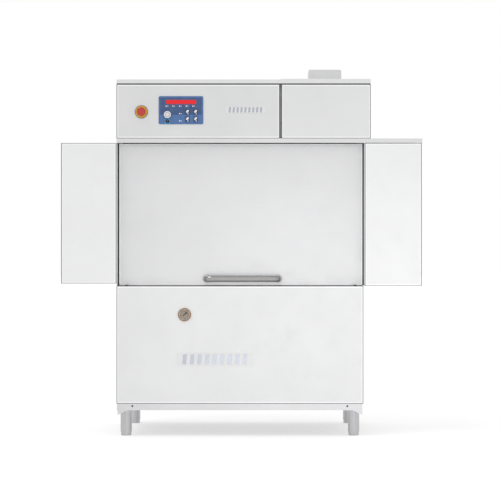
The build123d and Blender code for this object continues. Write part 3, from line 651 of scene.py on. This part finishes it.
def louvre_bank(name, x, z, count, place):
    """Pressed louvres: a wedge that rises and curls over each slot."""
    half, pitch, rise, height = 100 * MM, 20 * MM, 7 * MM, 13 * MM
    curl = [math.radians(a) for a in range(15, 90, 15)]
    profile = [(0.0, 0.0), (0.0, height)] + [(rise * math.sin(a), height * math.cos(a)) for a in curl]
    bm = bmesh.new()
    for i in range(count):
        foot = z + i * pitch
        left = [bm.verts.new(place(x - half, foot + v, w)) for w, v in profile]
        right = [bm.verts.new(place(x + half, foot + v, w)) for w, v in profile]
        bm.faces.new(left)
        bm.faces.new(list(reversed(right)))
        for j in range(len(profile)):
            k = (j + 1) % len(profile)
            bm.faces.new((left[k], left[j], right[j], right[k]))
    add_piece(name, from_bmesh(name, bm), side_steel, ROOT, 0.6 * MM)


def vents():
    """Louvre banks low on the rear panel and on the top housing's rear."""
    lo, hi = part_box("base_shell")
    for i, x in enumerate((-0.32, 0.02)):
        louvre_bank(f"rear_louvres_{i + 1}", x, lo[2] + 0.30, 7, on_rear(0.0, hi[1], 0.0))
    lo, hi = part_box("top_housing")
    louvre_bank("top_louvres", 0.02, lo[2] + 0.08, 6, on_rear(0.0, hi[1], 0.0))


def strip(name, x0, x1, y0, y1, z0, z1, material, body, bevel=0.4 * MM):
    """Folded edge strip with softened corners."""
    outline = [(x0, z0), (x1, z0), (x1, z1), (x0, z1)]
    plates(name, [outline], on_front(0.0, y1, 0.0), y1 - y0, material, body, bevel)


def folded_returns():
    """Hemmed sheet edges on the cowls and stiffeners behind the door skin."""
    band = 16 * MM
    gap = 1 * MM
    for name in ("cowl_left", "cowl_right"):
        lo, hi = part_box(name)
        near, far = hi[0] - band, lo[0]
        if name == "cowl_right":
            near, far = far, near
        for end, x in (("inner", near), ("outer", far)):
            strip(f"{name}_{end}_hem", x + gap, x + band - gap, lo[1] + 2 * MM, lo[1] + 4 * MM,
                  lo[2] + gap, hi[2] - gap, panel_steel, ROOT)
    lo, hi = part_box("door_outer_skin")
    width, inset = 34 * MM, 30 * MM
    for end, x in (("left", lo[0] + inset), ("right", hi[0] - inset - width)):
        strip(f"door_{end}_stiffener", x, x + width, hi[1] + 2 * MM, hi[1] + 3.2 * MM, lo[2] + 0.02,
              hi[2] - 0.02, inner_steel, "door")


def handle_fittings():
    """Weld beads where the bow meets its rosettes."""
    lo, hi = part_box("door_handle")
    z = (lo[2] + hi[2]) / 2
    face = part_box("door_outer_skin")[0][1] - 4 * MM
    bead = [(13.9 * MM, face), (16.4 * MM, face), (15.8 * MM, face - 1.4 * MM),
            (14.4 * MM, face - 2.4 * MM), (13.9 * MM, face - 2.4 * MM)]
    for name, x in (("left", lo[0] + 19 * MM), ("right", hi[0] - 19 * MM)):
        lathe_y(f"handle_bead_{name}", bead, x, z, frame_steel, "door", smooth=True)


def shaded_hem_frame(name, node, body=ROOT, side=3.4 * MM, flat=2.2 * MM):
    """Rolled hem round a panel's front: a dark outer bead, painted shade, and a bright fold inside it, a
    painted highlight.
    """
    lo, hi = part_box(node)
    fold = 4.5 * MM
    # Part, material, inset from the panel's edge, upright width, level width and thickness.
    # The bead's dark colour is painted shade and the fold's bright colour a painted highlight.
    for part, material, inset, wide, level, proud in (
            ("bead", painted_shade_steel, 0.0, side, flat, 0.9 * MM), ("fold", painted_highlight_steel, side, fold, fold, 0.4 * MM)):
        x0, x1, z0, z1 = lo[0] + inset, hi[0] - inset, lo[2] + inset, hi[2] - inset
        outlines = [
            [(x0, z0), (x0 + wide, z0), (x0 + wide, z1), (x0, z1)],
            [(x1 - wide, z0), (x1, z0), (x1, z1), (x1 - wide, z1)],
            [(x0 + wide, z0), (x1 - wide, z0), (x1 - wide, z0 + level), (x0 + wide, z0 + level)],
            [(x0 + wide, z1 - level), (x1 - wide, z1 - level), (x1 - wide, z1), (x0 + wide, z1)],
        ]
        plates(f"{name}_{part}", outlines, on_front(0.0, lo[1], 0.0), proud, material, body,
               0.15 * MM)


def panel_shaded_hems():
    """Hems on the panels that face the front, with painted shade and painted highlights along their edges."""
    for node in ("apron_panel", "cowl_left", "cowl_right", "fascia_panel", "right_cover_panel"):
        shaded_hem_frame(f"{node}_hem", node)
    shaded_hem_frame("door_shaded_hem", "door_outer_skin", "door", 1.2 * MM, 1.2 * MM)


def gap_seals_and_shade():
    """Black strips in the side gaps of the door and under the lids: the door strips are rubber gaskets whose
    black also serves as painted shade in the gaps, and the lid strip is painted shade in the gap under the
    lids.
    """
    lo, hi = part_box("door_outer_skin")
    gap, width = 0.6 * MM, 4.0 * MM
    front, back = 1 * MM, 12 * MM
    # These black gaskets also serve as painted shade in the door's side gaps.
    for name, x in (("left", lo[0] - gap - width), ("right", hi[0] + gap)):
        strip(f"door_seal_and_shade_{name}", x, x + width, lo[1] + front, lo[1] + back, lo[2], hi[2], rubber, ROOT,
              0.5 * MM)
    # A black strip filling the gap under the lids: painted shade.
    fascia_lo, fascia_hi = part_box("fascia_panel")
    lids_lo, lids_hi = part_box("control_lids")
    strip("lid_gap_shade", fascia_lo[0] + 1 * MM, lids_hi[0] - 1 * MM, fascia_lo[1] + front,
          fascia_lo[1] + back, fascia_hi[2], lids_lo[2], rubber, ROOT, 0.3 * MM)


# ---- stage, light and camera ----

def floor():
    """Wide pale floor under the feet."""
    half = 40.0
    bm = bmesh.new()
    corners = [(-half, -half), (half, -half), (half, half), (-half, half)]
    bm.faces.new([bm.verts.new((x, y, FLOOR_Z)) for x, y in corners])
    mesh = from_bmesh("floor", bm)
    mesh.materials.append(floor_paper("floor_paper"))
    obj = bpy.data.objects.new("floor", mesh)
    bpy.context.scene.collection.objects.link(obj)


def surroundings():
    """Even white surroundings."""
    world = bpy.data.worlds.new("studio")
    world.use_nodes = True
    background = world.node_tree.nodes["Background"]
    background.inputs["Color"].default_value = (1.0, 1.0, 1.0, 1.0)
    background.inputs["Strength"].default_value = 1.0
    bpy.context.scene.world = world


def add_light(name, kind, energy, direction):
    """A light that points along a direction."""
    data = bpy.data.lights.new(name, kind)
    data.energy = energy
    obj = bpy.data.objects.new(name, data)
    obj.rotation_euler = Vector(direction).to_track_quat("-Z", "Y").to_euler()
    bpy.context.scene.collection.objects.link(obj)
    return obj


def lights():
    """A soft box low at the front right, and a soft sun from above the front left."""
    place, target = Vector((0.75, -3.2, 0.45)), Vector((0.20, -0.3, 0.75))
    softbox = add_light("low_right", "AREA", 4.5, target - place)
    softbox.location = place
    softbox.visible_camera = False
    softbox.data.shape = "RECTANGLE"
    softbox.data.size, softbox.data.size_y = 2.2, 1.2
    sun = add_light("sun", "SUN", 0.62, (0.42, 0.40, -1.0))
    sun.data.angle = math.radians(24)


def camera():
    """Long lens, square to the front, and plain display colours."""
    scene = bpy.context.scene
    scene.view_settings.view_transform = "Standard"
    data = bpy.data.cameras.new("camera")
    data.sensor_fit = "HORIZONTAL"
    data.sensor_width = 36.0
    data.lens = 151.4
    data.shift_x = -0.036
    data.shift_y = -0.003
    data.clip_end = 200.0
    obj = bpy.data.objects.new("camera", data)
    obj.location = (0.119, -9.90, 0.898)
    obj.rotation_euler = (math.radians(90), 0, 0)
    scene.collection.objects.link(obj)
    scene.camera = obj


dress_nodes()
display()
panel_labels()
selector_surround()
key_icons()
emergency_stop()
start_button_trim()
gauge()
badge_relief()
panel_screws()
vents()
folded_returns()
handle_fittings()
panel_shaded_hems()
gap_seals_and_shade()
floor()
surroundings()
lights()
camera()
